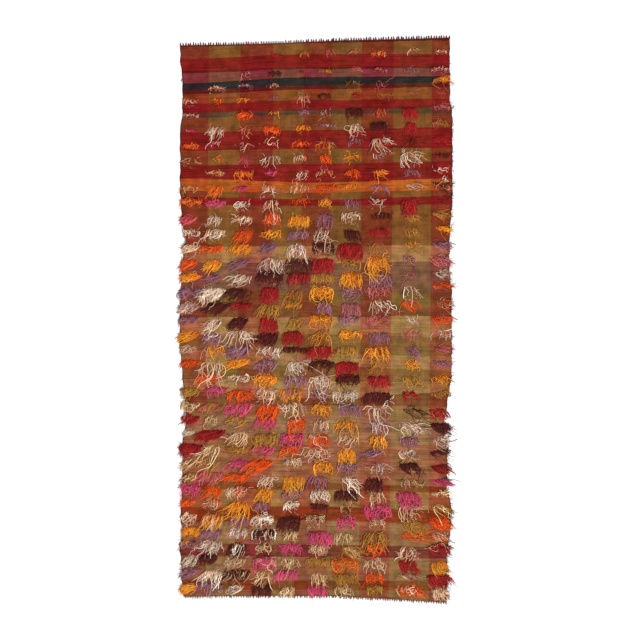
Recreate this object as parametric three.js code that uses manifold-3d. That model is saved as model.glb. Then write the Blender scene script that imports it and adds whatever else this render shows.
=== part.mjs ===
// Kilim runner rug: a flat-woven woollen cloth, plaid of warp and weft stripes, with rows of loose
// yarn tufts knotted into it, ends that fall over its edges, and short cut warp ends at both ends.
// Millimetres. X runs across the rug, Y along it, Z up, the floor is z = 0.
import * as THREE from 'three';
import { mergeVertices } from 'three/addons/utils/BufferGeometryUtils.js';
import Module from 'manifold-3d';

const wasm = await Module();
wasm.setup();

// Cloth: a balanced weave of thick woollen yarn, one panel, laid flat.
const clothThickness = 3;
const edgeStep = 50;
const selvedgeWaver = 1.2;

// The four edges as they lie, each uneven in its own way. y and x are the places along the edge.
const leftEdge = [
  { y: 990, x: -486 },
  { y: 912, x: -486 },
  { y: 850, x: -478 },
  { y: 712, x: -478 },
  { y: 680, x: -486 },
  { y: 455, x: -486 },
  { y: 336, x: -479 },
  { y: 285, x: -470 },
  { y: 177, x: -481 },
  { y: 30, x: -488 },
  { y: -86, x: -488 },
  { y: -215, x: -476 },
  { y: -348, x: -463 },
  { y: -418, x: -478 },
  { y: -640, x: -479 },
  { y: -681, x: -486 },
  { y: -740, x: -479 },
  { y: -803, x: -487 },
  { y: -850, x: -481 },
  { y: -940, x: -480 },
  { y: -990, x: -465 },
];
const rightEdge = [
  { y: 1000, x: 458 },
  { y: 770, x: 458 },
  { y: 735, x: 467 },
  { y: 425, x: 467 },
  { y: 290, x: 457 },
  { y: 160, x: 457 },
  { y: 110, x: 465 },
  { y: -185, x: 465 },
  { y: -262, x: 454 },
  { y: -350, x: 438 },
  { y: -392, x: 438 },
  { y: -440, x: 450 },
  { y: -590, x: 447 },
  { y: -635, x: 461 },
  { y: -730, x: 461 },
  { y: -830, x: 447 },
  { y: -1000, x: 447 },
];
const topEdge = [
  { x: -486, y: 960 },
  { x: -312, y: 963 },
  { x: -136, y: 967 },
  { x: -32, y: 972 },
  { x: 91, y: 976 },
  { x: 214, y: 979 },
  { x: 354, y: 981 },
  { x: 458, y: 985 },
];
const bottomEdge = [
  { x: -470, y: -966 },
  { x: -346, y: -963 },
  { x: -66, y: -962 },
  { x: 38, y: -962 },
  { x: 126, y: -967 },
  { x: 248, y: -972 },
  { x: 354, y: -977 },
  { x: 447, y: -983 },
];

// Tufts: ten to a row, in rows that run with the weft. Their pattern begins one row above the cloth,
// so its rows are numbered from 2. top and bottom are the x of each column of tufts at row 1 and at
// the last row. The knot line of a row is given at its left and right end.
const firstRow = 2;
const lastRow = 39;
const columns = [
  { top: -446, bottom: -450 },
  { top: -353, bottom: -374 },
  { top: -254, bottom: -284 },
  { top: -154, bottom: -196 },
  { top: -52, bottom: -105 },
  { top: 33, bottom: -7 },
  { top: 126, bottom: 88 },
  { top: 217, bottom: 196 },
  { top: 324, bottom: 306 },
  { top: 424, bottom: 413 },
];
const knotLines = [
  { row: 2, left: 938, right: 949 },
  { row: 3, left: 864, right: 885 },
  { row: 5, left: 772, right: 805 },
  { row: 10, left: 522, right: 530 },
  { row: 19, left: 58, right: 70 },
  { row: 28, left: -382, right: -412 },
  { row: 39, left: -920, right: -934 },
];

// How big a tuft lies: thin and flat in the first rows, thick and shaggy further down.
const tuftSizes = [
  { row: 2, width: 38, reach: 21, height: 2.5, ends: 2 },
  { row: 6, width: 42, reach: 24, height: 3.5, ends: 2 },
  { row: 9, width: 45, reach: 28, height: 5, ends: 2 },
  { row: 13, width: 54, reach: 37, height: 6.5, ends: 3 },
  { row: 16, width: 58, reach: 42, height: 7.5, ends: 3 },
  { row: 39, width: 58, reach: 42, height: 8, ends: 3 },
];
// Knots that were left out by the weaver, or pulled out since.
const bareKnots = [
  { row: 2, from: 1, to: 2 },
  { row: 3, from: 1, to: 2 },
  { row: 4, from: 1, to: 1 },
  { row: 4, from: 5, to: 6 },
  { row: 4, from: 9, to: 9 },
  { row: 6, from: 2, to: 2 },
  { row: 10, from: 1, to: 1 },
  { row: 24, from: 1, to: 1 },
];
// The share of the thick tufts that fall in two locks rather than three.
const shareOfPairs = 0.45;
const tuftSink = 1.5;
const tuftMargin = 4;
// Which way the ends fall, in degrees off straight down the rug, plus is to the right: down the
// middle they fall straight, and near the selvedges they sweep outwards.
const leans = [
  { row: 2, leftmost: -18, left: -2, middle: 0, right: 5, rightmost: 42 },
  { row: 10, leftmost: -40, left: -15, middle: 0, right: 8, rightmost: 55 },
  { row: 16, leftmost: -66, left: -40, middle: -8, right: 10, rightmost: 66 },
  { row: 22, leftmost: -60, left: -44, middle: -10, right: 12, rightmost: 70 },
  { row: 29, leftmost: -50, left: -46, middle: -8, right: 12, rightmost: 70 },
  { row: 39, leftmost: -35, left: -26, middle: 0, right: 12, rightmost: 60 },
];
const leanPlaces = [
  { name: 'leftmost', column: 1 },
  { name: 'left', column: 3 },
  { name: 'middle', column: 5.5 },
  { name: 'right', column: 8 },
  { name: 'rightmost', column: 10 },
];
const leanSpread = 10;

// Locks of tuft yarn that fall past the selvedges and lie on the floor: side, stretch of the edge,
// how many there are and how far they reach.
const rimLocks = [
  { side: 'right', from: 960, to: 930, count: 2, reach: 20 },
  { side: 'right', from: 880, to: 805, count: 5, reach: 26 },
  { side: 'right', from: 740, to: 690, count: 2, reach: 12 },
  { side: 'right', from: 600, to: 545, count: 4, reach: 22 },
  { side: 'right', from: 440, to: 360, count: 4, reach: 20 },
  { side: 'right', from: 320, to: 200, count: 4, reach: 16 },
  { side: 'right', from: 140, to: 20, count: 5, reach: 18 },
  { side: 'right', from: -20, to: -210, count: 9, reach: 20 },
  { side: 'right', from: -225, to: -330, count: 6, reach: 36 },
  { side: 'right', from: -345, to: -520, count: 11, reach: 54 },
  { side: 'right', from: -540, to: -730, count: 9, reach: 42 },
  { side: 'right', from: -745, to: -940, count: 12, reach: 44 },
  { side: 'left', from: 330, to: 270, count: 3, reach: 14 },
  { side: 'left', from: 200, to: 150, count: 4, reach: 18 },
  { side: 'left', from: 60, to: -60, count: 3, reach: 10 },
  { side: 'left', from: -320, to: -480, count: 4, reach: 14 },
  { side: 'left', from: -640, to: -930, count: 5, reach: 10 },
];
const lockWidth = 7;
const lockInset = 9;
const lockTipHeight = 1.2;
const lockRise = 2.6;
const lockFall = 0.55;

// Fringe: the cut warp ends, a few millimetres long, on the narrow strip that holds them.
const fringeStripWidth = 6;
const fringeStripHeight = 2.4;
const fringeGap = 0.3;
const fringeEnds = 92;
const fringeEndLength = 7;
const fringeEndWidth = 4.4;
const fringeTipWidth = 2;
const fringeEndHeight = 2;
const fringeTipHeight = 1.2;
const fringeOverlap = 1.5;

// A repeatable uneven number between -1 and 1 for each whole number n.
function uneven(n) {
  const s = Math.sin(n * 12.9898 + 4.1414) * 43758.5453;
  return 2 * (s - Math.floor(s)) - 1;
}

// Reads a table at a place along it, straight between its rows.
function readAt(table, key, place, value) {
  const rising = table[table.length - 1][key] > table[0][key];
  const sorted = rising ? table : [...table].reverse();
  const first = sorted[0];
  if (place <= first[key]) return first[value];
  for (let i = 1; i < sorted.length; i += 1) {
    const a = sorted[i - 1];
    const b = sorted[i];
    if (place <= b[key]) {
      const t = (place - a[key]) / (b[key] - a[key]);
      return a[value] + t * (b[value] - a[value]);
    }
  }
  return sorted[sorted.length - 1][value];
}

const tenth = (v) => Math.round(v * 10) / 10;

// A closed solid over an outline that runs counter-clockwise seen from above: each point has x, y
// and the height of the upper face there. faces lists the upper triangles.
function prism(points, faces, bottom) {
  const n = points.length;
  const positions = [];
  points.forEach((p) => positions.push(tenth(p.x), tenth(p.y), tenth(p.z)));
  points.forEach((p) => positions.push(tenth(p.x), tenth(p.y), bottom));
  const index = [];
  faces.forEach(([a, b, c]) => {
    index.push(a, b, c);
    index.push(n + a, n + c, n + b);
  });
  for (let i = 0; i < n; i += 1) {
    const j = (i + 1) % n;
    index.push(i, n + i, n + j);
    index.push(i, n + j, j);
  }
  const geometry = new THREE.BufferGeometry();
  geometry.setAttribute('position', new THREE.Float32BufferAttribute(positions, 3));
  geometry.setIndex(index);
  return geometry;
}

function toSolid(geometry) {
  const bare = geometry.clone();
  bare.deleteAttribute('normal');
  bare.deleteAttribute('uv');
  const merged = mergeVertices(bare, 1e-4);
  return new wasm.Manifold(new wasm.Mesh({
    numProp: 3,
    vertProperties: new Float32Array(merged.attributes.position.array),
    triVerts: new Uint32Array(merged.index.array),
  }));
}

function toGeometry(solid) {
  const mesh = solid.getMesh();
  const geometry = new THREE.BufferGeometry();
  geometry.setAttribute('position', new THREE.Float32BufferAttribute(mesh.vertProperties, 3));
  geometry.setIndex(new THREE.BufferAttribute(mesh.triVerts, 1));
  geometry.computeVertexNormals();
  return geometry;
}

// Where the cloth stops at either end, next to the strip that holds the fringe.
const clothBack = fringeStripWidth + fringeGap;
const lowestY = (x) => readAt(bottomEdge, 'x', x, 'y') + clothBack;
const highestY = (x) => readAt(topEdge, 'x', x, 'y') - clothBack;

// The outline of the cloth, counter-clockwise from its lower left corner. The ends follow the fringe
// strips point for point, the selvedges waver a little between the places that the tables give.
function clothOutline() {
  const selvedge = (edge, fromY, toY, seed) => {
    const steps = Math.round(Math.abs(toY - fromY) / edgeStep);
    const side = [];
    for (let i = 1; i < steps; i += 1) {
      const y = fromY + ((toY - fromY) * i) / steps;
      side.push({ x: readAt(edge, 'y', y, 'x') + selvedgeWaver * uneven(seed + i), y });
    }
    return side;
  };
  const low = bottomEdge.map(({ x }) => ({ x, y: lowestY(x) }));
  const high = topEdge.map(({ x }) => ({ x, y: highestY(x) })).reverse();
  const right = selvedge(rightEdge, low[low.length - 1].y, high[0].y, 200);
  const left = selvedge(leftEdge, high[high.length - 1].y, low[0].y, 300);
  return [...low, ...right, ...high, ...left];
}

function clothSlab() {
  const shape = new THREE.Shape(clothOutline().map((p) => new THREE.Vector2(tenth(p.x), tenth(p.y))));
  return new THREE.ExtrudeGeometry(shape, { depth: clothThickness, bevelEnabled: false, steps: 1 });
}

// One tuft: the knots lie in a line across, the yarn ends rise over it and fall down the rug in two
// or three pointed locks. The upper face is lowest at the tips. A lock that sweeps towards a selvedge
// slows down as it nears it, so that no tip passes it.
function tuft({ x, y, width, reach, height, ends, lean, seed }) {
  const angle = THREE.MathUtils.degToRad(lean);
  const edgeAt = (edge) => [y, y - reach].map((place) => readAt(edge, 'y', place, 'x'));
  const low = Math.max(...edgeAt(leftEdge)) + tuftMargin;
  const high = Math.min(...edgeAt(rightEdge)) - tuftMargin;
  const middle = Math.min(high - width / 2, Math.max(low + width / 2, x));
  const point = (across, along, z) => {
    const start = middle + across;
    const room = lean > 0 ? high - start : start - low;
    const aside = room > 0 ? room * Math.tanh((along * Math.sin(angle)) / room) : 0;
    const fall = Math.max(y - along * Math.cos(angle), lowestY(start) + tuftMargin);
    return { x: start + aside, y: fall, z: clothThickness + z };
  };
  const points = [point(-width / 2, 0, height * 0.6)];
  const lockPitch = width / ends;
  for (let i = 0; i < ends; i += 1) {
    const across = -width / 2 + lockPitch * (i + 0.5);
    const longer = 1 + 0.16 * uneven(seed + i);
    const aside = 0.22 * lockPitch * uneven(seed + 31 + i);
    points.push(point(across * 1.12 + aside, reach * longer, height * 0.25));
    if (i < ends - 1) {
      const between = -width / 2 + lockPitch * (i + 1);
      points.push(point(between, reach * (0.5 + 0.1 * uneven(seed + 57 + i)), height));
    }
  }
  points.push(point(width / 2, 0, height * 0.6));
  const last = points.length - 1;
  const faces = [];
  for (let i = 0; i < ends; i += 1) {
    const before = i === 0 ? 0 : 2 * i;
    const after = i === ends - 1 ? last : 2 * i + 2;
    faces.push([before, 2 * i + 1, after]);
  }
  for (let i = 1; i < ends; i += 1) {
    const after = i === ends - 1 ? last : 2 * i + 2;
    faces.push([0, 2 * i, after]);
  }
  return prism(points, faces, clothThickness - tuftSink);
}

function isBare(row, column) {
  return bareKnots.some((k) => k.row === row && column >= k.from && column <= k.to);
}

// The lean of a tuft, read along its row between the places that the table gives.
function leanAt(row, column) {
  const across = leanPlaces.map((place) => ({
    column: place.column,
    lean: readAt(leans, 'row', row, place.name),
  }));
  return readAt(across, 'column', column, 'lean');
}

function* tufts() {
  for (let row = firstRow; row <= lastRow; row += 1) {
    const left = readAt(knotLines, 'row', row, 'left');
    const right = readAt(knotLines, 'row', row, 'right');
    for (let column = 1; column <= columns.length; column += 1) {
      if (!isBare(row, column)) {
        const seed = row * 17 + column * 131;
        const { top, bottom } = columns[column - 1];
        const across = (column - 1) / (columns.length - 1);
        const down = (row - 1) / (lastRow - 1);
        const size = (value) => readAt(tuftSizes, 'row', row, value);
        const paired = 0.5 + 0.5 * uneven(seed + 6) < shareOfPairs;
        yield tuft({
          x: top + (bottom - top) * down + 4 * uneven(seed),
          y: left + (right - left) * across + 3 * uneven(seed + 1),
          width: size('width') * (1 + 0.12 * uneven(seed + 2)),
          reach: size('reach') * (1 + 0.12 * uneven(seed + 3)),
          height: size('height') * (1 + 0.25 * uneven(seed + 4)),
          ends: paired ? 2 : Math.floor(size('ends')),
          lean: leanAt(row, column) + leanSpread * uneven(seed + 5),
          seed,
        });
      }
    }
  }
}

// A lock past the edge: four-sided, rooted in the cloth, its underside level on the floor.
function* edgeLocks() {
  for (let zone = 0; zone < rimLocks.length; zone += 1) {
    const { side, from, to, count, reach } = rimLocks[zone];
    const out = side === 'right' ? 1 : -1;
    const edge = side === 'right' ? rightEdge : leftEdge;
    for (let i = 0; i < count; i += 1) {
      const seed = zone * 97 + i * 13;
      const y = from + ((to - from) * (i + 0.5)) / count + 3 * uneven(seed);
      const root = readAt(edge, 'y', y, 'x') - out * lockInset;
      const length = lockInset + reach * (0.8 + 0.3 * uneven(seed + 1));
      const fall = length * lockFall * (0.9 + 0.8 * uneven(seed + 2));
      const half = (lockWidth / 2) * (1 + 0.2 * uneven(seed + 3));
      const bend = 0.18 * length * uneven(seed + 4);
      const points = [
        { x: root, y: y + half, z: lockRise },
        { x: root, y: y - half, z: lockRise },
        { x: root + out * length * 0.6, y: y - fall * 0.5 - half * 0.6 + bend, z: lockRise * 0.8 },
        { x: root + out * length, y: y - fall, z: lockTipHeight },
        { x: root + out * length * 0.6, y: y - fall * 0.5 + half * 0.6 + bend, z: lockRise * 0.8 },
      ];
      const ordered = out > 0 ? points : [...points].reverse();
      const faces = [[0, 1, 2], [0, 2, 4], [2, 3, 4]];
      const mirrored = [[2, 3, 4], [0, 2, 4], [0, 1, 2]];
      yield prism(ordered, out > 0 ? faces : mirrored, 0);
    }
  }
}

function rugMesh() {
  let solid = toSolid(clothSlab());
  for (const geometry of tufts()) {
    solid = solid.add(toSolid(geometry));
  }
  for (const geometry of edgeLocks()) {
    solid = solid.add(toSolid(geometry));
  }
  const material = new THREE.MeshStandardMaterial({ color: 0x915037, roughness: 0.95, metalness: 0 });
  const mesh = new THREE.Mesh(toGeometry(solid), material);
  mesh.name = 'kilim_rug';
  return mesh;
}

// The strip of cloth that holds the cut warp ends, parted from the rug by a hair.
function fringeMesh(name, edge, out) {
  const outer = edge.map((p) => new THREE.Vector2(p.x, p.y));
  const inner = edge.map((p) => new THREE.Vector2(p.x, p.y - out * fringeStripWidth));
  const around = [...outer, ...inner.reverse()];
  const strip = new THREE.ExtrudeGeometry(new THREE.Shape(around), {
    depth: fringeStripHeight,
    bevelEnabled: false,
    steps: 1,
  });
  let solid = toSolid(strip);
  const start = edge[0].x + fringeEndWidth;
  const pitch = (edge[edge.length - 1].x - edge[0].x - 2 * fringeEndWidth) / (fringeEnds - 1);
  for (let i = 0; i < fringeEnds; i += 1) {
    const seed = i * 7 + (out > 0 ? 0 : 1000);
    const x = start + pitch * i;
    const y = readAt(edge, 'x', x, 'y') - out * fringeOverlap;
    const length = fringeOverlap + fringeEndLength * (1 + 0.3 * uneven(seed));
    const aside = 1.6 * uneven(seed + 1);
    const points = [
      { x: x - fringeEndWidth / 2, y, z: fringeEndHeight },
      { x: x - fringeTipWidth / 2 + aside, y: y + out * length, z: fringeTipHeight },
      { x: x + fringeTipWidth / 2 + aside, y: y + out * length, z: fringeTipHeight },
      { x: x + fringeEndWidth / 2, y, z: fringeEndHeight },
    ];
    const ordered = out > 0 ? [...points].reverse() : points;
    solid = solid.add(toSolid(prism(ordered, [[0, 1, 2], [0, 2, 3]], 0)));
  }
  const material = new THREE.MeshStandardMaterial({ color: 0x6a2b26, roughness: 0.95, metalness: 0 });
  const mesh = new THREE.Mesh(toGeometry(solid), material);
  mesh.name = name;
  return mesh;
}

const rug = new THREE.Group();
rug.add(rugMesh());
rug.add(fringeMesh('fringe_top', topEdge, 1));
rug.add(fringeMesh('fringe_bottom', bottomEdge, -1));

export default rug;
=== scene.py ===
import math

import bpy
import numpy as np
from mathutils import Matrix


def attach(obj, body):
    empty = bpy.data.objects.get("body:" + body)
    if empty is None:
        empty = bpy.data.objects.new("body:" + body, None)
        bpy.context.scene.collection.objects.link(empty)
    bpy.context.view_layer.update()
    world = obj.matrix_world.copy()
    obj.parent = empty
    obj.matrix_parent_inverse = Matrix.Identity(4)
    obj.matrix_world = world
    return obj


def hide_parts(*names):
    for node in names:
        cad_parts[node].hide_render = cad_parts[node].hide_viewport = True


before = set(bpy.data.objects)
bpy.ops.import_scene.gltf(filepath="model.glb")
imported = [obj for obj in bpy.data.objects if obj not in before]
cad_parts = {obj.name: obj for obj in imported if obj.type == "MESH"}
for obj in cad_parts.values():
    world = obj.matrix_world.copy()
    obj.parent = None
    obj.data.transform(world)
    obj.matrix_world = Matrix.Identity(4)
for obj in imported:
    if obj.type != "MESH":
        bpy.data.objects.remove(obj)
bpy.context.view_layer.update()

# The cloth: one panel of plaid flat weave, laid on the floor.
# Thick handspun wool, a balanced weave in which warp and weft both show, so every crossing of two
# stripes has a colour of its own. The sides are plain selvedges that waver, the ends are cut.
CLOTH_THICK = 0.003
# How far the underside lifts off the floor at the rim, and how wide the rounding there is.
RIM_LIFT = 0.0008
RIM_WIDTH = 0.0055
# From one row of knots to the next.
ROW_PITCH = 0.0501
# The even rectangle that the wavering panel is measured against.
CLOTH_WIDTH, CLOTH_LENGTH = 0.935, 1.94
LEFT_SIDE, TOP_END = -0.480, 0.970

# Edges as they lie, in mm: for the sides y and then x, for the ends x and then y.
LEFT_EDGE = np.array([
    (990, -486), (912, -486), (850, -478), (712, -478), (680, -486), (455, -486), (336, -479),
    (285, -470), (177, -481), (30, -488), (-86, -488), (-215, -476), (-348, -463), (-418, -478),
    (-640, -479), (-681, -486), (-740, -479), (-803, -487), (-850, -481), (-940, -480), (-990, -465),
]) / 1000
RIGHT_EDGE = np.array([
    (1000, 458), (770, 458), (735, 467), (425, 467), (290, 457), (160, 457), (110, 465), (-185, 465),
    (-262, 454), (-350, 438), (-392, 438), (-440, 450), (-590, 447), (-635, 461), (-730, 461),
    (-830, 447), (-1000, 447),
]) / 1000
TOP_EDGE = np.array([
    (-486, 962), (-312, 965), (-136, 970), (-32, 975), (91, 980), (214, 983), (354, 986), (458, 990),
]) / 1000
BOTTOM_EDGE = np.array([
    (-470, -967), (-346, -964), (-66, -964), (38, -964), (126, -969), (248, -975), (354, -981),
    (447, -987),
]) / 1000

# Warp stripes: dye, then the right border of the stripe at the top and the bottom of the rug, in mm.
WARP_STRIPES = [
    ("madder", -388, -399),
    ("olive", -276, -297),
    ("madder", -161, -171),
    ("olive", -52, -94),
    ("russet", 45, 24),
    ("moss", 147, 136),
    ("madder", 259, 241),
    ("olive", 392, 378),
    ("madder", 470, 470),
]
WARP_DYES = {
    "madder": (0.195, 0.013, 0.010),
    "russet": (0.190, 0.024, 0.012),
    "olive": (0.205, 0.086, 0.018),
    "moss": (0.175, 0.088, 0.018),
}
# The same warps in the lower part, which light has faded towards khaki, and where that begins and ends.
FADED_WARP_DYES = {
    "madder": (0.215, 0.026, 0.016),
    "russet": (0.200, 0.042, 0.020),
    "olive": (0.215, 0.143, 0.042),
    "moss": (0.205, 0.143, 0.042),
}
FADE_FROM, FADE_TO = 0.290, 0.190

# Weft stripes from the top down: dye, the y of the lower border at the left, middle and right, in mm.
WEFT_STRIPES = [
    ("maroon", 959, 971, 980),
    ("bronze", 915, 931, 931),
    ("madder", 870, 884, 887),
    ("maroon", 864, 877, 882),
    ("mauve", 829, 852, 854),
    ("navy", 803, 821, 830),
    ("maroon", 789, 807, 815),
    ("ochre", 758, 770, 775),
    ("madder", 726, 735, 747),
    ("slate", 707, 721, 724),
    ("bronze", 656, 663, 674),
    ("madder", 592, 599, 602),
    ("bronze", 541, 546, 555),
    ("madder", 494, 478, 492),
    ("orange", 451, 446, 453),
    ("bronze", 429, 418, 432),
    ("madder", 402, 400, 404),
    ("bronze", 257, 261, 264),
    ("tan", 201, 198, 205),
    ("heather", 103, 100, 100),
    ("bark", 61, 58, 44),
    ("umber", 9, 9, 16),
    ("tan", -54, -51, -61),
    ("moss", -107, -121, -131),
    ("tan", -159, -159, -177),
    ("moss", -205, -215, -215),
    ("tan", -250, -275, -254),
    ("umber", -289, -296, -306),
    ("khaki", -331, -338, -355),
    ("fawn", -418, -425, -439),
    ("rose", -565, -569, -583),
    ("cinnamon", -592, -593, -604),
    ("copper", -655, -653, -669),
    ("rust", -705, -700, -714),
    ("khaki", -782, -789, -796),
    ("plum", -824, -828, -835),
    ("khaki", -908, -912, -915),
    ("cinnamon", -943, -943, -949),
    ("brown", -990, -990, -1010),
]
# Dyes in linear light, and how much of the warp the yarn of that dye covers.
WEFT_DYES = {
    "maroon": (0.100, 0.008, 0.010, 0.86),
    "bronze": (0.205, 0.067, 0.021, 0.44),
    "madder": (0.216, 0.011, 0.011, 0.93),
    "mauve": (0.200, 0.038, 0.056, 0.60),
    "navy": (0.010, 0.020, 0.020, 0.93),
    "ochre": (0.270, 0.052, 0.017, 0.52),
    "slate": (0.066, 0.045, 0.030, 0.74),
    "orange": (0.540, 0.110, 0.017, 0.68),
    "tan": (0.525, 0.230, 0.094, 0.40),
    "heather": (0.190, 0.064, 0.046, 0.70),
    "bark": (0.180, 0.068, 0.016, 0.55),
    "umber": (0.200, 0.050, 0.020, 0.75),
    "moss": (0.235, 0.092, 0.028, 0.62),
    "khaki": (0.330, 0.136, 0.060, 0.54),
    "fawn": (0.330, 0.152, 0.078, 0.74),
    "rose": (0.335, 0.107, 0.053, 0.80),
    "cinnamon": (0.205, 0.034, 0.008, 0.68),
    "copper": (0.450, 0.145, 0.056, 0.40),
    "rust": (0.245, 0.034, 0.010, 0.92),
    "plum": (0.185, 0.025, 0.024, 0.84),
    "brown": (0.240, 0.100, 0.046, 0.60),
}


def smooth(t):
    """An eased step: 3t^2 - 2t^3, with t held between 0 and 1."""
    t = np.clip(t, 0.0, 1.0)
    return t * t * (3.0 - 2.0 * t)


def edge_at(edge, place):
    """The place across of an edge at places along it, straight between the rows of its table."""
    order = np.argsort(edge[:, 0])
    return np.interp(place, edge[order, 0], edge[order, 1])


def waver(place, seed):
    """A small wander along a line: a sum of sines with seeded lengths and phases, about 1 high."""
    draw = np.random.default_rng(seed)
    lengths = draw.uniform(0.03, 0.22, 7)
    phases = draw.uniform(0.0, 2.0 * math.pi, 7)
    waves = np.sin(np.asarray(place)[..., None] * 2.0 * math.pi / lengths + phases)
    return waves.sum(axis=-1) / 3.5


def mesh_from_faces(name, points, face_sets, uv):
    """A smooth mesh object from points (n, 3) and sets of faces with equal corners, such as quads (m, 4).
    uv holds a place on the yarn map for each corner, in the order of the face sets."""
    corners = np.concatenate([faces.ravel() for faces in face_sets])
    sizes = np.concatenate([np.full(len(faces), faces.shape[1]) for faces in face_sets])
    mesh = bpy.data.meshes.new(name)
    mesh.vertices.add(len(points))
    mesh.vertices.foreach_set("co", np.ascontiguousarray(points, dtype=np.float32).ravel())
    mesh.loops.add(corners.size)
    mesh.loops.foreach_set("vertex_index", corners.astype(np.int32))
    mesh.polygons.add(sizes.size)
    mesh.polygons.foreach_set("loop_start", (np.cumsum(sizes) - sizes).astype(np.int32))
    mesh.polygons.foreach_set("loop_total", sizes.astype(np.int32))
    layer = mesh.uv_layers.new(name="yarn")
    layer.data.foreach_set("uv", np.ascontiguousarray(uv, dtype=np.float32).ravel())
    mesh.update(calc_edges=True)
    mesh.polygons.foreach_set("use_smooth", np.ones(sizes.size, bool))
    piece = bpy.data.objects.new(name, mesh)
    bpy.context.scene.collection.objects.link(piece)
    return piece


def add_values(piece, label, values):
    """Keeps one value for each point of a mesh under a label that its material reads."""
    layer = piece.data.attributes.new(label, "FLOAT", "POINT")
    layer.data.foreach_set("value", np.ascontiguousarray(values, dtype=np.float32).ravel())


def cloth_points(across, down):
    """Points of the cloth for across 0 to 1, left to right, and down 0 to 1, top to bottom.
    y runs straight from the top edge to the bottom edge, x from the left selvedge to the right one. Each
    selvedge also wavers a little, and each row of knots draws it in by a cosine of y."""
    x_flat = LEFT_SIDE + CLOTH_WIDTH * across
    top = edge_at(TOP_EDGE, x_flat)
    bottom = edge_at(BOTTOM_EDGE, x_flat)
    y = top + (bottom - top) * down
    scallop = 0.0012 * np.cos(2 * math.pi * y / ROW_PITCH)
    left = edge_at(LEFT_EDGE, y) + 0.0010 * waver(y, 3) - scallop
    right = edge_at(RIGHT_EDGE, y) + 0.0010 * waver(y, 4) + scallop
    x = left + (right - left) * across
    return x, y


def read_between(place, borders, values):
    """Straight reading of a table whose borders may differ from point to point. Between the borders k and
    k + 1 the value goes from values[k] to values[k + 1]; the sum of all clipped steps gives it."""
    read = np.full(place.shape, values[0], dtype=float)
    for start, end, value, next_value in zip(borders[:-1], borders[1:], values[:-1], values[1:]):
        read += (next_value - value) * np.clip((place - start) / (end - start), 0.0, 1.0)
    return read


def weave_places(x, y):
    """Where a point of the cloth lies among its yarns: the place of its warp at the top of the rug, and
    the place of its weft at the left selvedge."""
    first_warp, first_weft, past_last = -0.49, -1.03, 0.05
    down = (TOP_END - y) / CLOTH_LENGTH
    across = (x - LEFT_SIDE) / CLOTH_WIDTH
    tops = [first_warp] + [top / 1000 for _, top, _ in WARP_STRIPES]
    drifts = [np.full(x.shape, first_warp)]
    for _, top, bottom in WARP_STRIPES:
        drifts.append((top + (bottom - top) * down) / 1000)
    warp = read_between(x, drifts, tops)
    lefts, borders = [first_weft], [np.full(x.shape, first_weft)]
    for _, left, middle, right in reversed(WEFT_STRIPES):
        near_left = left + (middle - left) * smooth(2 * across)
        borders.append((near_left + (right - middle) * smooth(2 * across - 1)) / 1000)
        lefts.append(left / 1000)
    borders.append(borders[-1] + past_last)
    lefts.append(lefts[-1] + past_last)
    return warp, read_between(y, borders, lefts)


def grid_lines(cells, length):
    """Grid lines from 0 to 1, evenly spaced but for three close ones at each end, where the rim is round."""
    close = np.array([0.0, 0.0012, 0.0030, RIM_WIDTH]) / length
    even = np.linspace(close[-1], 1 - close[-1], cells + 1)
    return np.concatenate((close[:-1], even, 1 - close[-2::-1]))


def build_cloth():
    """A closed sheet: a grid for the face, one for the underside, and a rounded rim between them.
    The face rises and falls a little, by a sum of slow waves and a pucker along each row of knots. At the
    rim both follow a quarter of a circle, the square root of 1 - (1 - distance / width)^2."""
    cells_across, cells_down, slow_waves = 92, 186, 14
    swell_height, pucker_height, rim_drop, rim_dark_width = 0.00022, 0.00025, 0.55, 0.0045
    across, down = np.meshgrid(grid_lines(cells_across, CLOTH_WIDTH), grid_lines(cells_down, CLOTH_LENGTH),
                               indexing="ij")
    x, y = cloth_points(across, down)
    warp, weft = weave_places(x, y)
    from_side = np.minimum(across, 1 - across) * CLOTH_WIDTH
    from_rim = np.minimum(from_side, np.minimum(down, 1 - down) * CLOTH_LENGTH)
    draw = np.random.default_rng(11)
    swell = np.zeros_like(x)
    for _ in range(slow_waves):
        turn = draw.uniform(0, math.pi)
        span = draw.uniform(0.05, 0.28)
        phase = draw.uniform(0, 2 * math.pi)
        swell += np.sin((x * math.cos(turn) + y * math.sin(turn)) * 2 * math.pi / span + phase)
    pucker = np.sin(y * 2 * math.pi / ROW_PITCH)
    round_off = np.sqrt(np.clip(1 - (1 - np.clip(from_rim / RIM_WIDTH, 0, 1)) ** 2, 0, 1))
    under = RIM_LIFT * (1 - round_off)
    face = CLOTH_THICK + swell_height * swell * round_off + pucker_height * pucker * round_off
    face = face - (CLOTH_THICK * rim_drop) * (1 - round_off)
    top = np.stack((x, y, face), axis=-1).reshape(-1, 3)
    low = np.stack((x, y, under), axis=-1).reshape(-1, 3)
    index = np.arange(x.size).reshape(x.shape)
    a, b, c, d = index[:-1, :-1], index[1:, :-1], index[1:, 1:], index[:-1, 1:]
    shift = x.size
    face_quads = np.stack((a, d, c, b), axis=-1).reshape(-1, 4)
    under_quads = np.stack((a, b, c, d), axis=-1).reshape(-1, 4) + shift
    loop = np.concatenate((index[0, :-1], index[:-1, -1], index[-1, :0:-1], index[:0:-1, 0]))
    after = np.roll(loop, -1)
    rim_quads = np.stack((loop, loop + shift, after + shift, after), axis=-1)
    quads = np.concatenate((face_quads, under_quads, rim_quads))
    places = np.tile(np.stack((warp, weft), axis=-1).reshape(-1, 2), (2, 1))
    piece = mesh_from_faces("cloth", np.concatenate((top, low)), [quads], places[quads.ravel()])
    # Towards every edge the cloth grows darker: partly its dark edge yarn, partly painted shade where the rim
    # rounds down to the floor.
    add_values(piece, "selvedge", np.tile(1 - smooth(from_rim.ravel() / rim_dark_width), 2))
    return piece


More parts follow.
